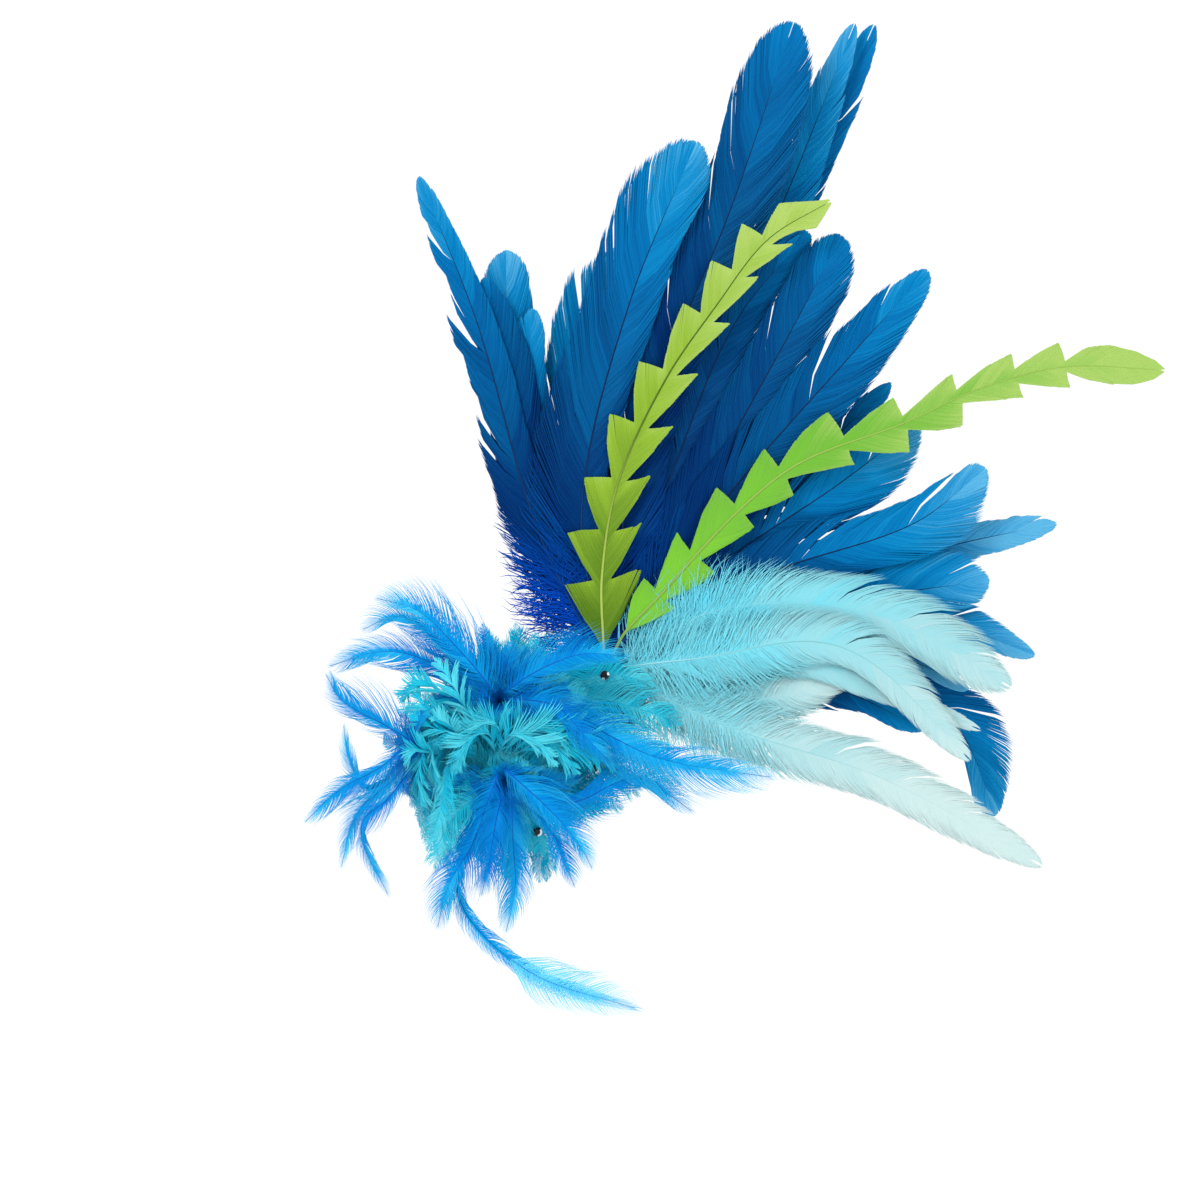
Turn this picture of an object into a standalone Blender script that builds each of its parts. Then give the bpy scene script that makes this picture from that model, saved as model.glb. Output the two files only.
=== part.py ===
"""A feather hair clip: a fan of feathers and three plume flowers on an oblong felt pad.

X runs to the right of the wearer's cheek side, Z up, and Y from the outer face in
towards the head. The origin is the middle of the clip's grip. Tables are in millimetres.
"""
import math

import bmesh
import bpy
from mathutils import Vector
from mathutils.geometry import interpolate_bezier

MM = 0.001
GAP = 0.3

# The clip: two flat jaws joined at the nose and past the middle, with a thumb tab
CLIP_LENGTH = 62.0
CLIP_WIDTH = 9.0
JAW_THICKNESS = 1.4
JAW_GAP = 2.4
JAW_GAP_END = 8.8
TAB_FOOT = 15.7
TAB_CROOK = 18.7
TAB_RISE = 7.0
TAB_BEVEL = 0.6

# The pad lies flat on the clip, its long axis rising towards the fan
PAD_LENGTH = 114.0
PAD_WIDTH = 54.0
PAD_RISE = 2.0
PAD_THICKNESS = 2.5
PAD_TILT = math.radians(29.0)
PAD_BACK = -(JAW_GAP / 2 + JAW_THICKNESS + GAP)
PAD_FRONT = PAD_BACK - PAD_THICKNESS

# The fan: quills start on a ring round one point, each foot laid on those that it
# crosses, and their vanes lie in layers that open outwards
FAN_X = 32.0
FAN_Z = 28.0
FAN_RING = 9.0
FAN_REACH = 330.0
QUILL_HALF = 0.7
LAYER_STEP = 1.75
LAYER_SPREAD = 7.5
FIRST_LAYER = PAD_FRONT - GAP - QUILL_HALF
GREEN_LAYER = 6

# A feather's section: a ridge at the shaft and thin edges
EDGE_HALF = 0.25
QUILL_WIDTH = 1.1
TIP_HALF = 0.4
CURVE_STEPS = 24

# A feather's outline, in shares of its length: where the vane starts, how soon it is
# full, and how much of it a pointed end takes
BARE_QUILL = 13.0
BARE_SHARE = 0.10
SWELL_SHARE = 0.22
POINTED_SHARE = 0.55
ROUND_END = 1.3
STATIONS = (0.0, 0.12, 0.24, 0.36, 0.5, 0.64, 0.76, 0.86, 0.93, 0.975, 1.0)

# The flowers: a squat head with a flat eye and two rows of petals
HEAD_SIDES = 16
HEAD_PROFILE = ((0.0, 8.0), (6.0, 12.0), (13.0, 11.0), (17.5, 8.5), (20.0, 5.0))
PETAL_THICKNESS = 1.2
FULL_PETAL = 28.0
PETALS = 8

# The stones: eight sides, a flat foot and a flat table
CRYSTAL_RADIUS = 2.4
CRYSTAL_HEIGHT = 1.9
CRYSTAL_PROFILE = ((0.0, 0.35), (0.55, 0.95), (0.7, 1.0), (1.0, 0.58))

# low, high, tip: where the shaft runs (x, z). layer counts from the pad outwards.
# left and right are the vane's widths beside the shaft, blunt how round its end is.
BLUE_COQUE = (
    # low        high        tip        layer left right blunt
    ((-2, 100), (-31, 200), (-60, 272), 4, 12, 11, 0.15),
    ((2, 100), (-14, 165), (-28, 222), 3, 11, 11, 0.6),
    ((4, 102), (-15, 180), (-17, 235), 1, 9, 14, 0.9),
    ((9, 100), (-5, 160), (-4, 207), 2, 8, 8, 0.6),
    ((16, 120), (25, 195), (43, 238), 0, 13, 13, 0.7),
    ((21, 110), (44, 208), (77, 288), 5, 15, 13, 0.9),
    ((50, 145), (95, 257), (125, 348), 4, 13, 14, 0.8),
    ((58, 140), (112, 240), (157, 349), 1, 12, 12, 0.1),
    ((69, 137), (120, 245), (167, 349), 0, 7, 8, 0.7),
    ((68, 131), (97, 200), (134, 246), 2, 12, 14, 0.4),
    ((80, 115), (127, 200), (149, 243), 3, 11, 12, 0.9),
    ((90, 110), (160, 190), (192, 225), 4, 12, 14, 0.5),
    ((92, 98), (140, 137), (174, 170), 1, 9, 8, 0.2),
    ((90, 80), (150, 121), (188, 150), 2, 13, 14, 0.8),
    ((110, 74), (185, 100), (221, 127), 4, 10, 10, 0.8),
    ((110, 62), (190, 86), (257, 101), 0, 8, 7, 0.6),
    ((110, 50), (180, 66), (223, 72), 3, 13, 10, 0.9),
    ((110, 42), (200, 50), (246, 35), 1, 8, 8, 0.4),
    ((110, 32), (180, 33), (213, 18), 2, 7, 7, 0.2),
    ((130, 27), (203, 4), (227, -44), 0, 10, 11, 0.7),
    ((100, 22), (150, 17), (190, -2), 3, 8, 8, 0.4),
    ((85, 15), (125, 28), (152, 34), 5, 8, 5, 0.1),
)

# The mint feathers: their shafts arch out of the foot of the fan
MINT_SADDLE = (
    # low        high         tip        layer left right blunt
    ((75, 33), (150, 39), (214, -17), 9, 13, 9, 0.2),
    ((92, 58), (170, 54), (234, 19), 7, 14, 13, 0.7),
    ((95, -1), (170, -26), (249, -69), 8, 14, 14, 0.3),
    ((110, 37), (170, 18), (219, -2), 7, 6, 6, 0.1),
    ((78, 8), (118, 14), (160, 29), 6, 8, 11, 0.2),
)

# The trimmed feathers: one row for each notch, with the cut's corner on either side.
# along is measured on the shaft, lean is how far a corner leans towards the tip.
GREEN_ONE_SHAFT = (
    (31, 75), (39, 121), (62, 171), (88, 209), (113, 241), (144, 260),
)
GREEN_ONE_START = 2.0
GREEN_ONE_NOTCHES = (
    # along  left right lean_left lean_right
    (8, 7, 10, 0, 2),
    (35, 18, 20, -1, 5),
    (60, 18, 19, -1, 5),
    (86, 15, 17, -1, 5),
    (115, 15, 16, 1, 6),
    (145, 15, 13, -1, 7),
    (178, 13, 11, 0, 5),
    (205, 15, 9, -2, 5),
    (227, 13, 12, 0, 7),
)
GREEN_TWO_SHAFT = (
    (43, 47), (60, 65), (98, 106), (130, 131), (180, 150), (220, 168), (261, 178), (309, 176),
)
GREEN_TWO_START = 14.0
GREEN_TWO_NOTCHES = (
    # along  left right lean_left lean_right
    (38, 11, 10, 1, 1),
    (64, 15, 13, 3, 1),
    (96, 15, 12, 1, -1),
    (124, 14, 13, 2, -3),
    (159, 15, 14, 0, -1),
    (190, 14, 14, -1, -2),
    (220, 12, 13, 2, -4),
    (250, 11, 12, 2, 0),
    (275, 11, 12, 0, 0),
)
GREEN_NOTCHED = (
    (GREEN_ONE_SHAFT, GREEN_ONE_START, GREEN_ONE_NOTCHES),
    (GREEN_TWO_SHAFT, GREEN_TWO_START, GREEN_TWO_NOTCHES),
)
GREEN_NECK = 3.4
GREEN_CUT = 0.6
GREEN_MIDDLE = (0.55, 0.74)
GREEN_LEAF = 10.0
LEAF_PROFILE = ((0.0, 0.3), (0.22, 0.8), (0.42, 1.0), (0.7, 0.8), (0.9, 0.5), (1.0, 0.12))

# The flowers: place on the pad (x, z), the way the eye faces (x, y, z), the first
# petal's angle, and how far petals reach to the right, up, to the left and down
FLOWERS = (
    # place        facing             phase  right up  left down
    ((-20, 12), (0.0, -1.0, 0.0), 14.0, 62, 38, 19, 16),
    ((-42, -13), (-0.72, -0.69, 0.0), 0.0, 18, 34, 26, 52),
    ((-16, -26), (0.0, -1.0, -0.06), -60.0, 52, 17, 20, 46),
)
PETAL_ROWS = (
    # first_ring last_ring turn  lift  reach width
    (1, 2, 0.0, 5.0, 1.0, 13.0),
    (2, 3, 22.5, 8.0, 0.88, 12.0),
)
PETAL_STATIONS = (
    # along lift width
    (0.12, 0.35, 0.7),
    (0.4, 0.85, 1.0),
    (0.75, 1.0, 0.9),
    (1.0, 0.85, 0.3),
)

# The azure feathers: the flower, where the quill stands on its eye in degrees, then
# low, high and tip as (x, y, z), and the vane's half widths
QUILL_RING = 3.7
QUILL_RISE = 8.0
AZURE_BLUNT = 0.35
AZURE_HACKLE = (
    # eye turn low              high             tip             left right
    (0, 115, (-38, -41, 36), (-60, -42, 57), (-83, -37, 64), 6, 7),
    (0, 160, (-45, -37, 37), (-68, -37, 54), (-90, -32, 47), 6, 6),
    (0, 205, (-45, -33, 27), (-75, -31, 37), (-107, -24, 29), 5, 6),
    (0, 60, (2, -42, 29), (23, -43, 36), (46, -38, 34), 6, 5),
    (0, 15, (8, -48, 10), (22, -49, -4), (37, -45, -20), 7, 8),
    (0, -32, (20, -41, 2), (60, -42, -16), (119, -38, -26), 8, 8),
    (1, 100, (-76, -30, 0), (-98, -31, 13), (-107, -26, 27), 7, 11),
    (1, 190, (-84, -24, -31), (-95, -16, -16), (-98, -12, 2), 5, 4),
    (1, 145, (-78, -32, -20), (-98, -30, -31), (-118, -24, -49), 4, 5),
    (1, 235, (-74, -38, -28), (-90, -37, -43), (-99, -32, -72), 5, 5),
    (1, 280, (-74, -44, -35), (-88, -43, -50), (-74, -37, -86), 5, 5),
    (2, 150, (-33, -42, -58), (-45, -44, -79), (-51, -36, -102), 9, 8),
    (2, 247, (-22, -50, -50), (-25, -50, -68), (-29, -44, -85), 6, 6),
    (2, 289, (-13, -41, -58), (-12, -40, -80), (-17, -32, -104), 8, 9),
    (2, 330, (3, -42, -45), (12, -41, -66), (18, -35, -81), 6, 7),
    (2, 98, (4, -50, -40), (19, -48, -57), (27, -42, -72), 6, 6),
    (2, 205, (-41, -34, -80), (-8, -33, -120), (53, -28, -142), 5, 5),
    (2, 12, (14, -36, -38), (48, -34, -26), (78, -32, -44), 5, 5),
)

# Each stone sits on a petal: flower, row, petal number, distance from the flower
CRYSTALS = (
    (0, 0, 0, 54.0),
    (2, 1, 1, 44.0),
    (2, 0, 0, 30.0),
)

MATERIALS = {
    # name: red, green, blue, roughness, metallic
    "coque_blue": (0.01, 0.16, 0.50, 0.45, 0.0),
    "leaf_green": (0.38, 0.62, 0.05, 0.50, 0.0),
    "mint": (0.45, 0.80, 0.82, 0.60, 0.0),
    "azure": (0.01, 0.28, 0.75, 0.50, 0.0),
    "turquoise": (0.05, 0.55, 0.65, 0.60, 0.0),
    "felt": (0.02, 0.10, 0.25, 0.95, 0.0),
    "clip_steel": (0.60, 0.61, 0.63, 0.30, 1.0),
    "crystal": (0.03, 0.04, 0.06, 0.05, 0.0),
}


def make_material(name):
    red, green, blue, roughness, metallic = MATERIALS[name]
    material = bpy.data.materials.new(name)
    material.use_nodes = True
    shader = material.node_tree.nodes["Principled BSDF"]
    shader.inputs["Base Color"].default_value = (red, green, blue, 1.0)
    shader.inputs["Roughness"].default_value = roughness
    shader.inputs["Metallic"].default_value = metallic
    return material


def add_part(name, data, material):
    part = bpy.data.objects.new(name, data)
    collection.objects.link(part)
    data.materials.append(materials[material])
    return part


def mesh_part(name, bm, material):
    bmesh.ops.recalc_face_normals(bm, faces=bm.faces)
    mesh = bpy.data.meshes.new(name)
    bm.to_mesh(mesh)
    bm.free()
    return add_part(name, mesh, material)


class Shaft:
    """A smooth line through a feather's points, read by the length along it."""

    def __init__(self, stops):
        stops = [Vector(stop) for stop in stops]
        ahead = [stops[1] - stops[0]]
        for before, after in zip(stops, stops[2:]):
            ahead.append(after - before)
        ahead.append(stops[-1] - stops[-2])
        ahead = [way.normalized() for way in ahead]
        self.points = [stops[0]]
        for start, end, leave, arrive in zip(stops, stops[1:], ahead, ahead[1:]):
            handle = (end - start).length / 3
            curve = interpolate_bezier(
                start, start + leave * handle, end - arrive * handle, end, CURVE_STEPS)
            self.points += curve[1:]
        self.marks = [0.0]
        for before, after in zip(self.points, self.points[1:]):
            self.marks.append(self.marks[-1] + (after - before).length)
        self.length = self.marks[-1]

    def at(self, along):
        """The point and the direction of the shaft at a length along it."""
        step = 1
        while step < len(self.marks) - 1 and self.marks[step] < along:
            step += 1
        span = self.marks[step] - self.marks[step - 1]
        share = (along - self.marks[step - 1]) / span
        point = self.points[step - 1].lerp(self.points[step], share)
        low = max(step - 2, 0)
        high = min(step + 1, len(self.points) - 1)
        return point, (self.points[high] - self.points[low]).normalized()


def section(shaft, along, left, right, ridge, lean_left=0.0, lean_right=0.0):
    """Six corners of a feather's cross-section: two edges and a ridge, front and back."""
    point, ahead = shaft.at(along)
    outward = Vector((0.0, -1.0, 0.0))
    side = outward.cross(Vector((ahead.x, 0.0, ahead.z))).normalized()
    face = ahead.cross(side).normalized()
    left_edge = point + side * left + ahead * lean_left
    right_edge = point - side * right + ahead * lean_right
    return (
        left_edge + face * EDGE_HALF,
        point + face * ridge,
        right_edge + face * EDGE_HALF,
        right_edge - face * EDGE_HALF,
        point - face * ridge,
        left_edge - face * EDGE_HALF,
    )


def loft(name, sections, material):
    """A closed solid through a row of cross-sections."""
    bm = bmesh.new()
    rings = [[bm.verts.new(corner * MM) for corner in corners] for corners in sections]
    for ring, following in zip(rings, rings[1:]):
        for corner in range(len(ring)):
            after = (corner + 1) % len(ring)
            bm.faces.new((ring[corner], ring[after], following[after], following[corner]))
    bm.faces.new(rings[0])
    bm.faces.new(rings[-1])
    return mesh_part(name, bm, material)


def ridge_at(share):
    return QUILL_HALF + (TIP_HALF - QUILL_HALF) * share


def vane_width(share, width, blunt, length):
    """Half the vane's width: a bare quill, a swelling, and a round or pointed end."""
    bare = max(BARE_SHARE, BARE_QUILL / length)
    swell = min(max((share - bare) / SWELL_SHARE, 0.0), 1.0)
    swell = swell * swell * (3 - 2 * swell)
    rounded = ROUND_END * width / length
    taper = POINTED_SHARE + (rounded - POINTED_SHARE) * blunt
    past = max(0.0, (share - (1 - taper)) / taper)
    end = math.sqrt(max(0.0, 1 - past ** (1.4 + 0.6 * blunt)))
    return max(QUILL_WIDTH, width * swell * end)


def feather(name, stops, left, right, blunt, material):
    shaft = Shaft(stops)
    sections = []
    for share in STATIONS:
        left_width = vane_width(share, left, blunt, shaft.length)
        right_width = vane_width(share, right, blunt, shaft.length)
        along = shaft.length * share
        sections.append(section(shaft, along, left_width, right_width, ridge_at(share)))
    return loft(name, sections, material)


def fan_depth(layer, x, z):
    """How far in front of the head a layer of the fan lies at one place."""
    reach = math.hypot(x - FAN_X, z - FAN_Z) / FAN_REACH
    return FIRST_LAYER - layer * (LAYER_STEP + (LAYER_SPREAD - LAYER_STEP) * reach ** 2)


def lay_foot(feet, angle):
    """A quill's foot on the ring, laid on the pad or on the feet that it crosses."""
    x = FAN_X + FAN_RING * math.cos(angle)
    z = FAN_Z + FAN_RING * math.sin(angle)
    y = FIRST_LAYER
    for foot in feet:
        apart = math.hypot(x - foot.x, z - foot.z)
        if apart < 2 * QUILL_WIDTH + GAP:
            thinner = (QUILL_HALF - EDGE_HALF) * apart / QUILL_WIDTH
            y = min(y, foot.y - (2 * QUILL_HALF + GAP - thinner))
    feet.append(Vector((x, y, z)))
    return feet[-1]


def fan_stops(feet, points, layer):
    """A shaft's stops: its foot, then its points in the layer where its vane lies."""
    angle = math.atan2(points[0][1] - FAN_Z, points[0][0] - FAN_X)
    return [lay_foot(feet, angle)] + [(x, fan_depth(layer, x, z), z) for x, z in points]


def make_fan():
    """Lays the fan's feathers one on the other, from the pad outwards."""
    feathers = []
    for number, row in enumerate(BLUE_COQUE, start=1):
        feathers.append((row[3], f"blue_coque_{number:02d}", "coque_blue", row))
    for number, row in enumerate(GREEN_NOTCHED, start=1):
        feathers.append((GREEN_LAYER, f"green_notched_{number}", "leaf_green", row))
    for number, row in enumerate(MINT_SADDLE, start=1):
        feathers.append((row[3], f"mint_saddle_{number}", "mint", row))
    feet = []
    for layer, name, material, row in sorted(feathers):
        if material == "leaf_green":
            points, start, notches = row
            notched_feather(name, fan_stops(feet, points, layer), start, notches, material)
        else:
            *points, _, left, right, blunt = row
            feather(name, fan_stops(feet, points, layer), left, right, blunt, material)


def notched_feather(name, stops, start, notches, material):
    """A trimmed feather: it widens from each neck to the corners of the next cut."""
    shaft = Shaft(stops)
    sections = [section(shaft, 0.0, QUILL_WIDTH, QUILL_WIDTH, QUILL_HALF)]
    neck = QUILL_WIDTH
    halfway, fullness = GREEN_MIDDLE
    for along, left, right, lean_left, lean_right in notches:
        ridge = ridge_at(along / shaft.length)
        middle = start + (along - start) * halfway
        sections.append(section(shaft, start, neck, neck, ridge))
        sections.append(section(shaft, middle, left * fullness, right * fullness, ridge,
                                lean_left / 2, lean_right / 2))
        sections.append(section(shaft, along, left, right, ridge, lean_left, lean_right))
        start = along + GREEN_CUT
        neck = GREEN_NECK
    span = shaft.length - start
    for share, width in LEAF_PROFILE:
        half = GREEN_LEAF * width
        sections.append(section(shaft, start + span * share, half, half, TIP_HALF))
    return loft(name, sections, material)


class Flower:
    """A plume flower: its own axes, its petals' reach, and its place on the pad."""

    def __init__(self, place, facing, phase, right, up, left, down):
        self.facing = Vector(facing).normalized()
        tilt = math.hypot(self.facing.x, self.facing.z) * HEAD_PROFILE[0][1]
        self.base = Vector((place[0], PAD_FRONT - GAP - tilt, place[1]))
        self.across = Vector((0.0, 0.0, 1.0)).cross(-self.facing).normalized() * -1.0
        self.upward = self.facing.cross(self.across)
        self.phase = phase
        self.reaches = (right, up, left, down)

    def place(self, radius, angle, depth):
        """World point at a distance from the axis, an angle in degrees and a depth."""
        turn = math.radians(angle)
        ray = self.across * math.cos(turn) + self.upward * math.sin(turn)
        return self.base + ray * radius + self.facing * depth

    def reach(self, angle):
        turn = math.radians(angle)
        right, up, left, down = self.reaches
        sideways = math.cos(turn) / (right if math.cos(turn) > 0 else left)
        lengthways = math.sin(turn) / (up if math.sin(turn) > 0 else down)
        return 1 / math.hypot(sideways, lengthways)

    def petal_spine(self, row, angle):
        """Radius, depth and width at each station of a petal."""
        first, last, _, lift, share, width = row
        ring_depth = (HEAD_PROFILE[first][0] + HEAD_PROFILE[last][0]) / 2
        start = max(HEAD_PROFILE[first][1], HEAD_PROFILE[last][1])
        end = max(self.reach(angle) * share, start + 2.0)
        width *= min(1.0, end / FULL_PETAL)
        for along, rise, swell in PETAL_STATIONS:
            radius = start + (end - start) * along
            yield radius, ring_depth + lift * rise, width * swell


def petal_angle(flower, row, number):
    return flower.phase + row[2] + 360.0 / PETALS * number


def make_flower(name, flower):
    bm = bmesh.new()
    step = 360.0 / HEAD_SIDES
    rings = []
    for depth, radius in HEAD_PROFILE:
        ring = []
        for side in range(HEAD_SIDES):
            angle = flower.phase + (side - 0.5) * step
            ring.append(bm.verts.new(flower.place(radius, angle, depth) * MM))
        rings.append(ring)
    bm.faces.new(rings[0])
    bm.faces.new(rings[-1])
    faces = {}
    for level, (ring, following) in enumerate(zip(rings, rings[1:])):
        for side in range(HEAD_SIDES):
            after = (side + 1) % HEAD_SIDES
            corners = (ring[side], ring[after], following[after], following[side])
            faces[level, side] = bm.faces.new(corners)
    bmesh.ops.recalc_face_normals(bm, faces=bm.faces)
    for row in PETAL_ROWS:
        for number in range(PETALS):
            angle = petal_angle(flower, row, number)
            side = round((angle - flower.phase) / step) % HEAD_SIDES
            grow_petal(bm, flower, faces[row[0], side], row, angle)
    return mesh_part(name, bm, "turquoise")


def grow_petal(bm, flower, face, row, angle):
    """Draws one face of the head out into a flat, curved petal."""
    centre = face.calc_center_median()
    ray = flower.place(1.0, angle, 0.0) - flower.place(0.0, angle, 0.0)
    beside = flower.facing.cross(ray)
    signs = []
    for vert in face.verts:
        away = vert.co - centre
        out = math.copysign(1, away.dot(flower.facing))
        signs.append((math.copysign(1, away.dot(beside)), out))
    for radius, depth, width in flower.petal_spine(row, angle):
        face = bmesh.ops.extrude_discrete_faces(bm, faces=[face])["faces"][0]
        middle = flower.place(radius, angle, depth)
        for vert, (across, out) in zip(face.verts, signs):
            corner = middle + beside * (across * width / 2)
            vert.co = (corner + flower.facing * (out * PETAL_THICKNESS / 2)) * MM


def make_azure():
    foot = HEAD_PROFILE[-1][0] + GAP
    for number, (eye, turn, low, high, tip, left, right) in enumerate(AZURE_HACKLE, start=1):
        root = flowers[eye].place(QUILL_RING, turn, foot)
        rise = flowers[eye].place(QUILL_RING * 1.6, turn, foot + QUILL_RISE)
        name = f"azure_hackle_{number:02d}"
        feather(name, (root, rise, low, high, tip), left, right, AZURE_BLUNT, "azure")


def make_crystal(name, flower, row, number, distance):
    """A round-cut stone with a flat table, seated on the face of a petal."""
    angle = petal_angle(flower, row, number)
    spine = list(flower.petal_spine(row, angle))
    depth = spine[0][1]
    for (near, low, _), (far, high, _) in zip(spine, spine[1:]):
        if near <= distance <= far:
            depth = low + (high - low) * (distance - near) / (far - near)
    seat = depth + PETAL_THICKNESS / 2 + GAP
    centre = flower.place(distance, angle, seat)
    bm = bmesh.new()
    rings = []
    for height, size in CRYSTAL_PROFILE:
        ring = []
        for side in range(8):
            turn = math.radians(45.0 * side)
            ray = flower.across * math.cos(turn) + flower.upward * math.sin(turn)
            corner = centre + ray * (CRYSTAL_RADIUS * size)
            ring.append(bm.verts.new((corner + flower.facing * (CRYSTAL_HEIGHT * height)) * MM))
        rings.append(ring)
    for ring, following in zip(rings, rings[1:]):
        for side in range(8):
            after = (side + 1) % 8
            bm.faces.new((ring[side], ring[after], following[after], following[side]))
    bm.faces.new(rings[0])
    bm.faces.new(rings[-1])
    return mesh_part(name, bm, "crystal")


def flat_outline(name, corners, thickness, material):
    """A flat piece: a closed outline in its own XY plane, with a thickness across it."""
    curve = bpy.data.curves.new(name, "CURVE")
    curve.dimensions = "2D"
    curve.fill_mode = "BOTH"
    curve.extrude = thickness / 2 * MM
    spline = curve.splines.new("POLY")
    spline.points.add(len(corners) - 1)
    for point, (x, y) in zip(spline.points, corners):
        point.co = (x * MM, y * MM, 0.0, 1.0)
    spline.use_cyclic_u = True
    return add_part(name, curve, material)


def arc(centre, radius, start, end, steps):
    corners = []
    for step in range(steps + 1):
        turn = math.radians(start + (end - start) * step / steps)
        corners.append((centre[0] + radius * math.cos(turn), centre[1] + radius * math.sin(turn)))
    return corners


def make_pad():
    straight = (PAD_LENGTH - PAD_WIDTH) / 2
    radius = PAD_WIDTH / 2
    outline = arc((straight, 0), radius, -90, 90, 12) + arc((-straight, 0), radius, 90, 270, 12)
    pad = flat_outline("felt_pad", outline, PAD_THICKNESS, "felt")
    pad.rotation_euler = (math.radians(90), -PAD_TILT, 0.0)
    pad.location = (0.0, (PAD_FRONT + PAD_BACK) / 2 * MM, PAD_RISE * MM)


def make_clip():
    """The jaws and the hinge as one outline: length along X, depth along Y."""
    inner = JAW_GAP / 2
    outer = inner + JAW_THICKNESS
    nose = -CLIP_LENGTH / 2
    heel = CLIP_LENGTH / 2
    tab = outer + TAB_RISE
    outline = [(heel, -outer), (heel, -inner), (TAB_CROOK, -inner), (heel, tab - JAW_THICKNESS)]
    outline += [(heel - TAB_BEVEL, tab), (TAB_FOOT, outer), (nose + outer, outer)]
    outline += arc((nose + outer, 0), outer, 90, 270, 8)[1:]
    slot = [(JAW_GAP_END, -inner), (nose + outer, -inner)]
    slot += arc((nose + outer, 0), inner, 270, 90, 6)[1:] + [(JAW_GAP_END, inner)]
    clip = flat_outline("hair_clip", outline, CLIP_WIDTH, "clip_steel")
    hole = clip.data.splines.new("POLY")
    hole.points.add(len(slot) - 1)
    for point, (x, y) in zip(hole.points, slot):
        point.co = (x * MM, y * MM, 0.0, 1.0)
    hole.use_cyclic_u = True
    clip.rotation_euler = (0.0, -PAD_TILT, 0.0)


for old in list(bpy.data.objects):
    bpy.data.objects.remove(old, do_unlink=True)
collection = bpy.data.collections.new("feather_hair_clip")
bpy.context.scene.collection.children.link(collection)
materials = {name: make_material(name) for name in MATERIALS}

make_pad()
make_clip()
make_fan()
flowers = [Flower(*row) for row in FLOWERS]
for number, flower in enumerate(flowers, start=1):
    make_flower(f"turquoise_flower_{number}", flower)
make_azure()
for number, (flower, row, petal, distance) in enumerate(CRYSTALS, start=1):
    make_crystal(f"dark_crystal_{number}", flowers[flower], PETAL_ROWS[row], petal, distance)
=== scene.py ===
import math
import random
from functools import partial

import bmesh
import bpy
import numpy as np
from mathutils import Matrix, Vector
from mathutils.geometry import interpolate_bezier


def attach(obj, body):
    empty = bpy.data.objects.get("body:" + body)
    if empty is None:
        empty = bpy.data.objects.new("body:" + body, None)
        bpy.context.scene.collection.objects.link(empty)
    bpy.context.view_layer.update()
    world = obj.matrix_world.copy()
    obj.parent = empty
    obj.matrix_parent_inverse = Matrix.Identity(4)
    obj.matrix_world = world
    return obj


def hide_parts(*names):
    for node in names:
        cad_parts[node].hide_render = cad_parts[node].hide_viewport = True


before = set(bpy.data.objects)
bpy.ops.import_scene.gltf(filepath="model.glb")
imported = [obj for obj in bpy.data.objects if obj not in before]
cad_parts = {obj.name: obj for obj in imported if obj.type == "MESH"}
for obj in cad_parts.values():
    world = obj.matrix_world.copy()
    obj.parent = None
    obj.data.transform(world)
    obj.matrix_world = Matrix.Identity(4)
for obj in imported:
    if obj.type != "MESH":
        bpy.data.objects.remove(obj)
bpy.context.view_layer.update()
MM = 0.001


# The clip is a sprung steel hair clip under the pad, bent from two flat strips.
# It keeps its solid and gets a drawn-steel finish with fine lines along the jaws.

class Steps:
    """A node tree written as lines of working: each call adds one node and gives its output."""

    def __init__(self, tree):
        self.tree = tree

    def add(self, kind, *values, out=0, **settings):
        node = self.tree.nodes.new(kind)
        for label, value in settings.items():
            setattr(node, label, value)
        sockets = [socket for socket in node.inputs if socket.enabled]
        for socket, value in zip(sockets, values):
            if isinstance(value, bpy.types.NodeSocket):
                self.tree.links.new(value, socket)
            elif value is not None:
                socket.default_value = value
        return [socket for socket in node.outputs if socket.enabled][out]

    def calc(self, operation, *values):
        return self.add("ShaderNodeMath", *values, operation=operation)

    def vector(self, operation, *values):
        return self.add("ShaderNodeVectorMath", *values, operation=operation)


class Finish(Steps):
    """A material: plain values on the shader's own sockets, and steps that feed the rest."""

    def __init__(self, name, roughness, metallic=0.0, specular=0.5):
        self.material = bpy.data.materials.new(name)
        self.material.use_nodes = True
        super().__init__(self.material.node_tree)
        self.shader = self.tree.nodes["Principled BSDF"]
        self.set("Roughness", roughness)
        self.set("Metallic", metallic)
        self.set("Specular IOR Level", specular)
        self.place = self.add("ShaderNodeTexCoord", out=3)

    def set(self, label, value):
        self.shader.inputs[label].default_value = value

    def feed(self, label, value):
        self.tree.links.new(value, self.shader.inputs[label])

    def noise(self, scale, detail):
        """Noise on the piece's own coordinates, its scale in cells a metre."""
        return self.add("ShaderNodeTexNoise", self.place, None, scale, detail)

    def ramp(self, factor, stops):
        """Colours spread over a factor from 0 to 1."""
        colour = self.add("ShaderNodeValToRGB", factor)
        elements = colour.node.color_ramp.elements
        while len(elements) < len(stops):
            elements.new(0.5)
        for element, (place, shade) in zip(elements, stops):
            element.position = place
            element.color = (*shade, 1.0)
        return colour

    def shift(self, factor, value, middle, amount):
        """Moves a factor by how far a value lies from its middle."""
        return self.calc("MULTIPLY_ADD", self.calc("SUBTRACT", value, middle), amount, factor)

    def raise_surface(self, height, strength, distance):
        """Bumps the surface by a height from the nodes."""
        self.feed("Normal", self.add("ShaderNodeBump", strength, distance, None, height))


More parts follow.
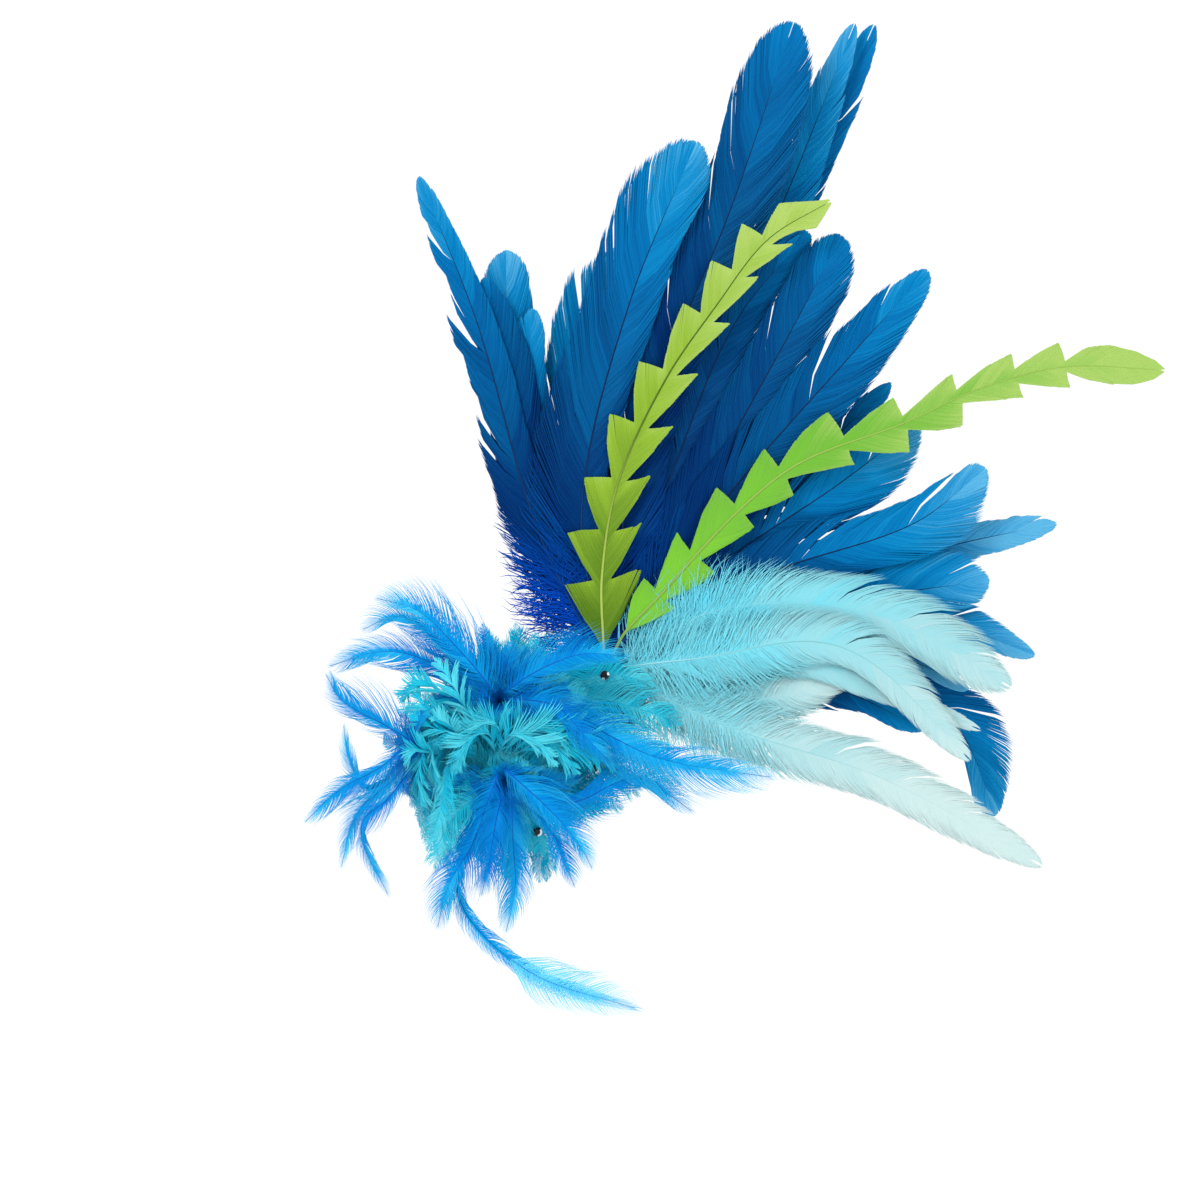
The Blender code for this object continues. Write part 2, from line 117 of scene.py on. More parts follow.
clip_tilt = math.radians(29.0)
line_density = (60.0, 1500.0, 2500.0)
steel = Finish("Drawn steel", 0.3, metallic=1.0)
steel.place = steel.add("ShaderNodeMapping", steel.place, None, (0.0, clip_tilt, 0.0), line_density)
lines = steel.noise(1.0, 3.0)
steel.feed("Base Color", steel.ramp(lines, ((0.3, (0.24, 0.25, 0.27)), (0.7, (0.46, 0.47, 0.49)))))
steel.feed("Roughness", steel.calc("MULTIPLY_ADD", lines, 0.25, 0.2))
steel.raise_surface(lines, 0.15, 0.0001)
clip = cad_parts["hair_clip"]
clip.data.materials.clear()
clip.data.materials.append(steel.material)


# The pad is an oblong of pressed wool felt, cut with round ends, on which every feather
# is sewn. A running stitch of blue thread follows its edge.

pad_length, pad_width, pad_thickness = 0.114, 0.054, 0.0025
pad_back = -0.0029
pad_rise = 0.002
pad_round = 0.0008
seam_inset = 0.0035


def stadium(length, width, round_steps=24):
    """A closed outline with straight sides and round ends, about the origin."""
    corners = []
    for end, start in ((1, -90), (-1, 90)):
        for step in range(round_steps + 1):
            turn = math.radians(start + 180.0 * step / round_steps)
            middle = end * (length - width) / 2
            corners.append((middle + width / 2 * math.cos(turn), width / 2 * math.sin(turn)))
    return corners


def mesh_of(bm, name):
    """A mesh of what a bmesh holds."""
    mesh = bpy.data.meshes.new(name)
    bm.to_mesh(mesh)
    bm.free()
    return mesh


def finished_object(name, mesh):
    thing = bpy.data.objects.new(name, mesh)
    bpy.context.scene.collection.objects.link(thing)
    return thing


pad_place = (Matrix.Translation((0.0, pad_back - pad_thickness / 2, pad_rise))
             @ Matrix.Rotation(-clip_tilt, 4, "Y") @ Matrix.Rotation(math.radians(90), 4, "X"))
bm = bmesh.new()
outline = [bm.verts.new((x, y, -pad_thickness / 2)) for x, y in stadium(pad_length, pad_width)]
foot = bm.faces.new(outline)
raised = bmesh.ops.extrude_face_region(bm, geom=[foot])["geom"]
for vert in (part for part in raised if isinstance(part, bmesh.types.BMVert)):
    vert.co.z = pad_thickness / 2
bmesh.ops.recalc_face_normals(bm, faces=bm.faces)
rim = [edge for edge in bm.edges if abs(edge.verts[0].co.z - edge.verts[1].co.z) < 1e-6]
bmesh.ops.bevel(bm, geom=rim, offset=pad_round, segments=3, affect="EDGES", profile=0.5)
bmesh.ops.transform(bm, matrix=pad_place, verts=bm.verts)
pad_mesh = mesh_of(bm, "felt_pad_shape")
pad_mesh.shade_smooth()

felt = Finish("Pressed felt", 0.95, specular=0.1)
clouds = felt.calc("MULTIPLY", felt.noise(240.0, 4.0), 0.5)
fibres = felt.calc("MULTIPLY_ADD", felt.noise(1900.0, 3.0), 0.5, clouds)
felt.feed("Base Color", felt.ramp(fibres, ((0.35, (0.004, 0.06, 0.20)), (0.65, (0.012, 0.13, 0.36)))))
felt.set("Sheen Weight", 0.15)
felt.set("Sheen Roughness", 0.6)
felt.set("Sheen Tint", (0.1, 0.5, 1.0, 1.0))
felt.raise_surface(fibres, 0.7, 0.0004)
pad_mesh.materials.append(felt.material)
pad = finished_object("felt_pad_sewn", pad_mesh)
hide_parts("felt_pad")
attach(pad, "root")


def grow(thing, tree, **settings):
    """Runs a tree on an object with the given measures, and keeps the result as a plain mesh."""
    modifier = thing.modifiers.new("Grow", "NODES")
    modifier.node_group = tree
    for socket in tree.interface.items_tree:
        key = socket.name.replace(" ", "_").lower()
        if socket.in_out == "INPUT" and key in settings:
            modifier[socket.identifier] = settings[key]
    depsgraph = bpy.context.evaluated_depsgraph_get()
    mesh = bpy.data.meshes.new_from_object(thing.evaluated_get(depsgraph), depsgraph=depsgraph)
    thing.modifiers.remove(modifier)
    thing.data = mesh
    return thing


def new_tree(name, taken, inputs, made):
    """An empty tree with named inputs, the steps to build it and the inputs to build it from."""
    tree = bpy.data.node_groups.new(name, "GeometryNodeTree")
    for label, kind in ((taken, "Geometry"), *inputs):
        tree.interface.new_socket(label, in_out="INPUT", socket_type="NodeSocket" + kind)
    tree.interface.new_socket(made, in_out="OUTPUT", socket_type="NodeSocketGeometry")
    return tree, Steps(tree), tree.nodes.new("NodeGroupInput").outputs


def stitch_tree():
    """Lays one stitch after another along the seam line."""
    tree, steps, given = new_tree("Running stitch", "Seam", (
        ("Stitch", "Object"), ("Step", "Float"), ("Length", "Float"), ("Thickness", "Float"),
        ("Seed", "Int"), ("Thread", "Material")), "Stitches")
    add = steps.add
    seam = add("GeometryNodeMeshToCurve", given["Seam"])
    holes = add("GeometryNodeCurveToPoints", seam, given["Step"], mode="LENGTH")
    turn = add("FunctionNodeAxesToRotation", holes.node.outputs["Tangent"], (0.0, 1.0, 0.0),
               primary_axis="X", secondary_axis="Z")
    uneven = add("FunctionNodeRandomValue", 0.8, 1.1, None, given["Seed"], data_type="FLOAT")
    size = add("ShaderNodeCombineXYZ", steps.calc("MULTIPLY", given["Length"], uneven),
               given["Thickness"], given["Thickness"])
    stitch = add("GeometryNodeObjectInfo", given["Stitch"], out=4)
    sewn = add("GeometryNodeInstanceOnPoints", holes, None, stitch, None, None, turn, size)
    sewn = add("GeometryNodeRealizeInstances", sewn)
    sewn = add("GeometryNodeSetMaterial", sewn, None, given["Thread"])
    tree.links.new(sewn, tree.nodes.new("NodeGroupOutput").inputs[0])
    return tree


bm = bmesh.new()
bmesh.ops.create_icosphere(bm, subdivisions=2, radius=0.5)
stitch_mesh = mesh_of(bm, "one_stitch")
stitch_mesh.shade_smooth()
one_stitch = bpy.data.objects.new("one_stitch", stitch_mesh)
seam_mesh = bpy.data.meshes.new("seam_line")
seam = [pad_place @ Vector((x, y, -pad_thickness / 2))
        for x, y in stadium(pad_length - 2 * seam_inset, pad_width - 2 * seam_inset)]
seam_mesh.from_pydata(seam, [(spot, (spot + 1) % len(seam)) for spot in range(len(seam))], [])
thread = Finish("Blue cotton thread", 0.7, specular=0.2)
ply = thread.noise(2600.0, 2.0)
thread.feed("Base Color", thread.ramp(ply, ((0.3, (0.02, 0.16, 0.42)), (0.7, (0.08, 0.34, 0.70)))))
thread.raise_surface(ply, 0.5, 0.0002)
stitches = grow(finished_object("pad_edge_stitches", seam_mesh), stitch_tree(), stitch=one_stitch,
                step=0.0052, length=0.0034, thickness=0.0007, seed=7, thread=thread.material)
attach(stitches, "root")


# The blue fan: dyed rooster tail feathers, each a dark quill with two vanes of barbs that
# lie close as satin, part here and there, and turn to loose down towards the foot.

fan_x, fan_z, fan_ring, fan_reach = 32.0, 28.0, 9.0, 330.0
first_layer, layer_step, layer_spread = -6.4, 1.75, 7.5
quill_half, quill_width, edge_half, gap = 0.7, 1.1, 0.25, 0.3
shaft_end, longest_barb, strand_apart = 0.965, 0.075, 7.31
feet = []


def fan_depth(layer, x, z):
    """How far in front of the head a layer of the fan lies at one place."""
    reach = math.hypot(x - fan_x, z - fan_z) / fan_reach
    return first_layer - layer * (layer_step + (layer_spread - layer_step) * reach ** 2)


def lay_foot(angle):
    """A quill's foot on the ring, laid on the pad or on the feet that it crosses."""
    x = fan_x + fan_ring * math.cos(angle)
    z = fan_z + fan_ring * math.sin(angle)
    y = first_layer
    for foot in feet:
        apart = math.hypot(x - foot.x, z - foot.z)
        if apart < 2 * quill_width + gap:
            slope = (quill_half - edge_half) / quill_width
            y = min(y, foot.y - (2 * quill_half + gap - slope * apart))
    feet.append(Vector((x, y, z)))
    return feet[-1]


def fan_stops(points, layer):
    """A fan feather's stops: its foot, then its points in the layer where its vane lies."""
    angle = math.atan2(points[0][1] - fan_z, points[0][0] - fan_x)
    return [lay_foot(angle)] + [(x, fan_depth(layer, x, z), z) for x, z in points]


def smooth_line(stops, count, end=1.0):
    """Evenly spaced points on a smooth line through some stops, and the line's whole length."""
    stops = [Vector(stop) for stop in stops]
    ahead = [stops[1] - stops[0]]
    for before, after in zip(stops, stops[2:]):
        ahead.append(after - before)
    ahead.append(stops[-1] - stops[-2])
    ahead = [way.normalized() for way in ahead]
    dense = [stops[0]]
    for here, there, leave, arrive in zip(stops, stops[1:], ahead, ahead[1:]):
        handle = (there - here).length / 3
        bend = here + leave * handle, there - arrive * handle
        dense += interpolate_bezier(here, *bend, there, 24)[1:]
    dense = np.array(dense)
    marks = np.concatenate(([0.0], np.cumsum(np.linalg.norm(np.diff(dense, axis=0), axis=1))))
    even = np.linspace(0.0, end, count) * marks[-1]
    line = np.column_stack([np.interp(even, marks, dense[:, axis]) for axis in range(3)])
    return line * MM, marks[-1] * MM


def half_vane(share, width, blunt, length, bare=0.013, swelling=0.22):
    """Half a vane's width: a bare quill, a swelling, and a round or a pointed end."""
    start = max(0.06, bare / length)
    swell = np.clip((share - start) / swelling, 0, 1)
    swell = swell * swell * (3 - 2 * swell)
    rounded = 1.3 * width / length
    taper = 0.55 + (rounded - 0.55) * blunt
    past = np.clip((share - (1 - taper)) / taper, 0, 1)
    return width * swell * np.sqrt(np.clip(1 - past ** (1.4 + 0.6 * blunt), 0, 1))


def barb_reach(share, lean, half, length):
    """How long a barb grows from each station before it meets the vane's outline."""
    tries = np.linspace(0, longest_barb, 301)
    reach = []
    for station, angle in zip(share, lean):
        inside = tries * math.sin(angle) <= half(station + tries * math.cos(angle) / length)
        reach.append(tries[-1] if inside.all() else tries[np.argmin(inside)])
    return np.array(reach)


def feather_strand(stops, left, right, blunt, lean, dye, girth, face=(0, -1, 0), down=0.0,
                   down_end=0.075, bare=0.013, swelling=0.22, count=72):
    """One feather as a line of measures: where its shaft runs and how its barbs grow."""
    line, length = smooth_line(stops, count, shaft_end)
    share = np.linspace(0, shaft_end, count)
    closing = np.clip((shaft_end - share) / 0.09, 0, 1) ** 0.6
    angle = np.maximum(math.radians(lean) * closing * (1.15 - 0.25 * share), 0.03)
    sides = [barb_reach(share, angle, partial(half_vane, width=width * MM, blunt=blunt, length=length,
                                              bare=bare, swelling=swelling), length)
             for width in (left, right)]
    station = share * length
    fluff = np.clip((down_end - station) / (down_end * 0.6), 0, 1) * down
    fluff[station < 0.003] = 0.0
    return {
        "line": line, "left": sides[0], "right": sides[1], "lean": angle, "fluff": fluff,
        "girth": girth * MM * (1 - 0.8 * share ** 0.7), "along": share, "station": station,
        "dye": np.full(count, dye), "face": np.tile(np.array(face, float), (count, 1)),
    }


def strands_object(name, strands):
    """The lines of one or more feathers as a mesh of edges, their measures kept on the points."""
    mesh = bpy.data.meshes.new(name)
    edges = []
    first = 0
    for number, strand in enumerate(strands):
        count = len(strand["line"])
        edges += [(first + step, first + step + 1) for step in range(count - 1)]
        first += count
        strand["station"] = strand["station"] + strand_apart * number
    mesh.from_pydata(np.concatenate([strand["line"] for strand in strands]).tolist(), edges, [])
    for label in ("left", "right", "lean", "fluff", "girth", "along", "station", "dye", "face"):
        values = np.concatenate([strand[label] for strand in strands]).astype(np.float32)
        kind, field = ("FLOAT_VECTOR", "vector") if label == "face" else ("FLOAT", "value")
        mesh.attributes.new(label, kind, "POINT").data.foreach_set(field, values.ravel())
    return finished_object(name, mesh)


def barb_blade(name, stations, pointed):
    """A blade of unit length and width: three corners at each station, closed at both ends."""
    bm = bmesh.new()
    rings = []
    for along, width in stations:
        corners = ((along, -width / 2, 0.0), (along, width / 2, 0.0), (along, 0.0, 0.28 * width))
        rings.append([bm.verts.new(corner) for corner in corners])
    for ring, following in zip(rings, rings[1:]):
        for corner in range(3):
            after = (corner + 1) % 3
            bm.faces.new((ring[corner], ring[after], following[after], following[corner]))
    bm.faces.new(rings[0])
    if pointed:
        tip = bm.verts.new((1.0, 0.0, 0.0))
        for corner in range(3):
            bm.faces.new((rings[-1][corner], rings[-1][(corner + 1) % 3], tip))
    else:
        bm.faces.new(rings[-1])
    bmesh.ops.recalc_face_normals(bm, faces=bm.faces)
    mesh = mesh_of(bm, name)
    across = mesh.attributes.new("across", "FLOAT", "POINT")
    for vert, spot in zip(mesh.vertices, across.data):
        spot.value = vert.co.x
    return bpy.data.objects.new(name, mesh)


def feather_tree():
    """Grows barbs on both sides of each shaft line, bends them, and rounds the shaft."""
    tree, steps, given = new_tree("Barbed feather", "Shafts", (
        ("Barb", "Object"), ("Spacing", "Float"), ("Barb Width", "Float"), ("Clump", "Float"),
        ("Split", "Float"), ("Bunch", "Float"), ("Loose", "Float"), ("Ragged", "Float"),
        ("Bow", "Float"), ("Cup", "Float"), ("Down", "Float"), ("Stray", "Float"),
        ("Tip Fill", "Float"), ("Seed", "Int"), ("Vane", "Material"), ("Shaft", "Material"),
    ), "Feathers")
    add, calc, vector = steps.add, steps.calc, steps.vector
    times, times_plus = partial(calc, "MULTIPLY"), partial(calc, "MULTIPLY_ADD")
    stretch = partial(vector, "SCALE")
    shortest_barb, least_angle, tip_start, tip_rise, down_lift = 0.0009, 0.02, 0.82, 9.0, 0.12
    seed_step, side_apart = 41.0, 53.7
    draws = iter(range(1, 40))

    def chance(low, high):
        seed = times_plus(given["Seed"], seed_step, float(next(draws)))
        return add("FunctionNodeRandomValue", low, high, None, seed, data_type="FLOAT")

    def read(label, kind="FLOAT"):
        return add("GeometryNodeInputNamedAttribute", label, data_type=kind)

    def store(geometry, label, value, kind="FLOAT"):
        return add("GeometryNodeStoreNamedAttribute", geometry, None, label, value, data_type=kind,
                   domain="POINT")

    lines = add("GeometryNodeMeshToCurve", given["Shafts"])
    grown = tree.nodes.new("GeometryNodeJoinGeometry")
    blade = add("GeometryNodeObjectInfo", given["Barb"], out=4)
    for side, label in ((1.0, "left"), (-1.0, "right")):
        roots = add("GeometryNodeCurveToPoints", lines, given["Spacing"], mode="LENGTH")
        ahead = roots.node.outputs["Tangent"]
        facing = read("face", "FLOAT_VECTOR")
        slant = stretch(ahead, vector("DOT_PRODUCT", facing, ahead))
        facing = vector("NORMALIZE", vector("SUBTRACT", facing, slant))
        beside = stretch(vector("CROSS_PRODUCT", facing, ahead), side)
        fluff = read("fluff")
        # Barbs cling together in clumps, which lean as one and leave a split between them
        spot = calc("ADD", calc("DIVIDE", read("station"), given["Clump"]), side_apart * side)
        clump = add("ShaderNodeTexVoronoi", spot, 1.0, voronoi_dimensions="1D", out=1)
        own = add("ShaderNodeSeparateXYZ", clump)
        sway = calc("POWER", times_plus(own, 2.0, -1.0), 3.0)
        sway = times(given["Split"], sway)
        huddle = times(given["Bunch"], calc("SUBTRACT", spot, clump.node.outputs["W"]))
        stray = times(given["Loose"], chance(-1.0, 1.0))
        spread = times(fluff, times_plus(given["Stray"], chance(-0.5, 0.5), 0.55))
        lean = read("lean")
        angle = calc("ADD", calc("ADD", lean, sway), calc("ADD", huddle, stray))
        angle = calc("MAXIMUM", calc("ADD", angle, spread), least_angle)
        worn = times_plus(given["Ragged"], chance(-1.0, 0.3), 1.0)
        grown_length = times(read(label), worn)
        worn = times_plus(given["Ragged"], calc("SUBTRACT", own.node.outputs["Y"], 0.5), 1.0)
        grown_length = times(grown_length, worn)
        down_length = times(given["Down"], chance(0.45, 1.0))
        length = add("ShaderNodeMix", fluff, grown_length, down_length, data_type="FLOAT")
        width = times(given["Barb Width"], times_plus(fluff, -0.35, 1.0))
        tip = times(calc("SUBTRACT", read("along"), tip_start), tip_rise)
        tip = calc("MINIMUM", calc("MAXIMUM", tip, 0.0), 1.0)
        width = times(width, times_plus(tip, given["Tip Fill"], 1.0))
        cos, sin = calc("COSINE", angle), calc("SINE", angle)
        lift = times(times_plus(fluff, down_lift, given["Loose"]), chance(-0.9, 1.0))
        way = vector("ADD", stretch(ahead, cos), stretch(beside, sin))
        way = vector("ADD", way, stretch(facing, lift))
        louver = calc("ADD", chance(-0.12, 0.12), 0.16 * side)
        tilted = vector("ADD", facing, stretch(vector("CROSS_PRODUCT", facing, way), louver))
        turn = add("FunctionNodeAxesToRotation", way, tilted, primary_axis="X", secondary_axis="Z")
        back = vector("SUBTRACT", stretch(beside, cos), stretch(ahead, sin))
        curl = times_plus(fluff, chance(-0.42, 0.25), given["Bow"])
        bow = stretch(back, times(length, curl))
        droop = times(times(length, given["Cup"]), chance(-1.35, -0.65))
        points = store(roots, "bow", bow, "FLOAT_VECTOR")
        points = store(points, "droop", stretch(facing, droop), "FLOAT_VECTOR")
        shade = times_plus(own.node.outputs["Z"], 0.6, chance(0.0, 0.4))
        points = store(points, "shade", shade)
        size = add("ShaderNodeCombineXYZ", length, width, width)
        grows = calc("GREATER_THAN", length, shortest_barb)
        barbs = add("GeometryNodeInstanceOnPoints", points, grows, blade, None, None, turn, size)
        tree.links.new(barbs, grown.inputs[0])
    barbs = add("GeometryNodeRealizeInstances", grown.outputs[0])
    across = read("across")
    arc = times(times(across, 4.0), calc("SUBTRACT", 1.0, across))
    bend = vector("ADD", stretch(read("bow", "FLOAT_VECTOR"), arc),
                  stretch(read("droop", "FLOAT_VECTOR"), times(across, across)))
    barbs = add("GeometryNodeSetPosition", barbs, None, None, bend)
    barbs = add("GeometryNodeSetMaterial", barbs, None, given["Vane"])
    shafts = add("GeometryNodeSetCurveRadius", lines, None, read("girth"))
    ring = add("GeometryNodeCurvePrimitiveCircle", 5, 1.0)
    shafts = add("GeometryNodeCurveToMesh", shafts, ring, read("girth"), True)
    shafts = add("GeometryNodeSetShadeSmooth", shafts)
    shafts = add("GeometryNodeSetMaterial", shafts, None, given["Shaft"])
    whole = tree.nodes.new("GeometryNodeJoinGeometry")
    tree.links.new(barbs, whole.inputs[0])
    tree.links.new(shafts, whole.inputs[0])
    whole = add("GeometryNodeRealizeInstances", whole.outputs[0])
    for label in ("bow", "droop", "left", "right", "lean", "girth", "station", "face"):
        whole = add("GeometryNodeRemoveAttribute", whole, label)
    tree.links.new(whole, tree.nodes.new("NodeGroupOutput").inputs[0])
    return tree


feathering = feather_tree()
soft_blade = barb_blade("soft_barb", ((0.0, 0.5), (0.35, 1.0), (0.86, 0.8)), True)


def vane_finish(name, stops, down_colour, tint, roughness=0.45, specular=0.16, foot_dye_and_shade=0.2, mottle=1.0,
                down_share=1.0, paler_ends=0.12, second_dye=None, even_at=0.5):
    """Dyed barbs: the dye sets the colour, which varies by feather, clump, barb and place, and
    darkens towards the foot: partly dye, and on the blue fan mostly painted shade between overlapping
    feathers.
    """
    vane = Finish(name, roughness, specular=specular)
    cloud, grain = vane.noise(38.0, 3.0), vane.noise(900.0, 2.0)
    dye, shade, across, along, fluff = (
        vane.add("ShaderNodeAttribute", out=2, attribute_name=label)
        for label in ("dye", "shade", "across", "along", "fluff"))
    factor = vane.shift(dye, cloud, 0.5, 0.5 * mottle)
    factor = vane.shift(factor, shade, 0.5, 0.34 * mottle)
    # Barbs grow paler towards their ends: partly their own colour, partly painted light shining
    # through the thin ends, strongest on the azure plumes
    factor = vane.calc("MULTIPLY_ADD", vane.calc("MULTIPLY", across, across), paler_ends, factor)
    # Darker towards the foot and lighter at the tips: on the blue fan mostly painted shade between
    # the overlapping feathers, over a dye that deepens at the foot
    colour = vane.ramp(vane.shift(factor, along, even_at, foot_dye_and_shade), stops)
    if second_dye:
        # The dye took unevenly in the bath, so broad patches lean to a second shade
        patch = vane.calc("SUBTRACT", vane.noise(17.0, 2.0), 0.48)
        patch = vane.add("ShaderNodeMath", patch, 4.0, operation="MULTIPLY", use_clamp=True)
        patch = vane.calc("MULTIPLY", patch, vane.calc("MULTIPLY_ADD", shade, 0.5, 0.2))
        colour = vane.add("ShaderNodeMix", patch, colour, (*second_dye, 1.0), data_type="RGBA")
    downy = vane.calc("MULTIPLY", fluff, down_share)
    colour = vane.add("ShaderNodeMix", downy, colour, (*down_colour, 1.0), data_type="RGBA")
    vane.feed("Base Color", colour)
    vane.feed("Roughness", vane.calc("MULTIPLY_ADD", grain, 0.2, roughness - 0.1))
    vane.raise_surface(grain, 0.2, 0.0001)
    vane.set("Specular Tint", (*tint, 1.0))
    return vane.material


def shaft_finish(name, dark, light):
    """A quill of horn, paler at its foot than at its tip."""
    quill = Finish(name, 0.4, specular=0.12)
    along = quill.add("ShaderNodeAttribute", out=2, attribute_name="along")
    factor = quill.shift(along, quill.noise(400.0, 2.0), 0.5, 0.4)
    quill.feed("Base Color", quill.ramp(factor, ((0.1, light), (0.45, dark))))
    return quill.material


# low, high and tip of the shaft (x, z), layer, left and right half width, bluntness, dye,
# down at the foot and its length, and how far the barbs part
blue_coque = (
    ((-2, 100), (-31, 200), (-60, 273), 4, 13, 10, 0.15, 0.49, 1.0, 36, 0.16),
    ((2, 100), (-14, 165), (-28, 223), 3, 13, 14, 0.6, 0.22, 1.0, 38, 0.12),
    ((4, 102), (-15, 180), (-17, 237), 1, 13, 17, 0.9, 0.56, 1.0, 40, 0.03),
    ((9, 100), (-5, 160), (-4, 208), 2, 12, 12, 0.6, 0.50, 1.0, 40, 0.08),
    ((16, 120), (25, 195), (43, 239), 0, 19, 15, 0.7, 0.66, 0.8, 36, 0.08),
    ((21, 110), (44, 208), (78, 290), 5, 22, 15, 0.95, 0.53, 0.4, 30, 0.02),
    ((50, 145), (95, 257), (126, 349), 4, 19, 19, 0.9, 0.28, 0.3, 30, 0.03),
    ((58, 140), (112, 240), (157, 350), 1, 16, 16, 0.1, 0.54, 0.2, 30, 0.07),
    ((69, 137), (120, 245), (167, 350), 0, 10, 10, 0.7, 0.34, 0.2, 30, 0.09),
    ((68, 131), (97, 200), (134, 246), 2, 15, 17, 0.4, 0.24, 0.2, 30, 0.12),
    ((80, 115), (127, 200), (150, 244), 3, 15, 16, 0.95, 0.27, 0.2, 30, 0.02),
    ((90, 110), (160, 190), (193, 226), 4, 16, 18, 0.5, 0.43, 0.2, 30, 0.07),
    ((92, 98), (140, 137), (175, 171), 1, 14, 14, 0.2, 0.34, 0.2, 30, 0.14),
    ((90, 80), (150, 121), (189, 151), 2, 18, 19, 0.8, 0.62, 0.2, 30, 0.13),
    ((110, 74), (185, 100), (222, 128), 4, 15, 15, 0.9, 0.66, 0.2, 26, 0.08),
    ((110, 62), (190, 86), (258, 101), 0, 11, 10, 0.6, 0.78, 0.3, 26, 0.10),
    ((110, 50), (180, 66), (224, 72), 3, 18, 16, 0.95, 0.62, 0.3, 26, 0.06),
    ((110, 42), (200, 50), (247, 35), 1, 11, 11, 0.5, 0.66, 0.3, 26, 0.06),
    ((110, 32), (180, 33), (214, 18), 2, 10, 10, 0.3, 0.74, 0.3, 26, 0.08),
    ((130, 27), (203, 4), (228, -45), 0, 14, 14, 0.8, 0.52, 0.3, 26, 0.05),
    ((100, 22), (150, 17), (191, -2), 3, 11, 11, 0.4, 0.44, 0.3, 26, 0.08),
    ((85, 15), (125, 28), (152, 34), 5, 11, 8, 0.1, 0.16, 0.3, 26, 0.08),
)
# The ramp's dark low end, which the feet take, is partly dye and mostly painted shade between the
# overlapping feathers
coque_vane = vane_finish("Blue satin barbs", (
    (0.0, (0.0003, 0.010, 0.095)), (0.12, (0.0004, 0.021, 0.125)), (0.32, (0.0004, 0.052, 0.18)),
    (0.52, (0.0004, 0.10, 0.30)), (0.74, (0.0015, 0.19, 0.43)), (0.98, (0.09, 0.35, 0.56))),
    (0.0008, 0.052, 0.42), (0.06, 0.6, 1.0),
    foot_dye_and_shade=0.95, even_at=0.71, specular=0.2, roughness=0.42, second_dye=(0.0004, 0.13, 0.24))
coque_shaft = shaft_finish("Blue quill", (0.0005, 0.012, 0.05), (0.001, 0.04, 0.18))


def laid(rows, name, first_seed):
    """A table's feathers as they are laid, the backmost layer first, each with its seed and node."""
    named = sorted((row[3], name.format(number), row) for number, row in enumerate(rows, start=1))
    return [(seed, node, row) for seed, (layer, node, row) in enumerate(named, start=first_seed)]


for seed, node, row in laid(blue_coque, "blue_coque_{:02d}", 1):
    *points, layer, left, right, blunt, dye, down, down_length, parting = row
    strand = feather_strand(fan_stops(points, layer), left, right, blunt, 22.0, dye, 0.75, down=down,
                            down_end=0.062, swelling=0.12)
    feather = strands_object(node.replace("coque", "tail_feather"), [strand])
    grow(feather, feathering, barb=soft_blade, spacing=0.00058 if down < 1 else 0.00044,
         barb_width=0.0008, clump=0.017, split=parting, bunch=0.015, loose=0.012, ragged=0.04,
         bow=0.07, cup=0.05, down=down_length * MM, stray=1.0, tip_fill=0.9, seed=seed,
         vane=coque_vane, shaft=coque_shaft)
    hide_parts(node)
    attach(feather, "root")


# The green feathers lie over the fan: goose feathers stripped of down and trimmed with
# scissors into a row of arrow-shaped leaves, so their barbs end blunt on clean cuts.

green_layer = 6
green_neck, green_cut = 3.4, 0.6
green_middle, green_fullness = 0.55, 0.74
green_end, longest_green_barb = 0.99, 0.06
# shaft (x, z), where the first leaf starts, then for each leaf: how far along its cut lies,
# the corners' half widths, and how far the corners lean to the tip; and the end leaf
green_notched = (
    (((31, 75), (39, 121), (62, 171), (88, 209), (113, 241), (144, 260)), 2.0, (
        (8, 7, 10, 0, 2), (35, 18, 20, -1, 5), (60, 18, 19, -1, 5), (86, 15, 17, -1, 5),
        (115, 15, 16, 1, 6), (145, 15, 13, -1, 7), (178, 13, 11, 0, 5), (205, 15, 9, -2, 5),
        (227, 13, 12, 0, 7)),
     ((0.0, 3.0, 3.0), (0.45, 9.5, 5.5), (0.62, 7.0, 9.5), (1.0, 1.0, 1.0))),
    (((43, 47), (60, 65), (98, 106), (130, 131), (180, 150), (220, 168), (261, 178), (309, 176)),
     14.0, (
        (38, 11, 10, 1, 1), (64, 15, 13, 3, 1), (96, 15, 12, 1, -1), (124, 14, 13, 2, -3),
        (159, 15, 14, 0, -1), (190, 14, 14, -1, -2), (220, 12, 13, 2, -4), (250, 11, 12, 2, 0),
        (275, 11, 12, 0, 0)),
     ((0.0, 2.2, 2.2), (0.22, 8.0, 8.0), (0.45, 9.5, 9.5), (0.7, 8.0, 8.0), (0.9, 4.5, 4.5),
      (1.0, 0.5, 0.5))),
)


def leaf_corners(length, start, notches, end_leaf, side):
    """The leaves on one side of the shaft, each as corners (along, out) in metres."""
    leaves = []
    neck = 1.1
    for row in notches:
        along, half, lean = row[0], row[1 + side], row[3 + side]
        middle = start + (along - start) * green_middle
        leaves.append(((start, 0), (start, neck), (middle + lean / 2, half * green_fullness),
                       (along + lean, half), (along + green_cut, green_neck), (along + green_cut, 0)))
        start, neck = along + green_cut, green_neck
    span = length / MM - start
    rim = tuple((start + span * row[0], row[1 + side]) for row in end_leaf)
    leaves.append(((start, 0),) + rim + ((start + span, 0),))
    return [np.array(leaf) * MM for leaf in leaves]


def inside_leaf(corners, along, out):
    """Whether points lie inside a leaf's outline, by counting the edges that they cross."""
    inside = np.zeros(along.shape, bool)
    for (a, b), (c, d) in zip(corners, np.roll(corners, -1, axis=0)):
        if b != d:
            crosses = ((b > out) != (d > out)) & (along < (c - a) * (out - b) / (d - b) + a)
            inside ^= crosses
    return inside


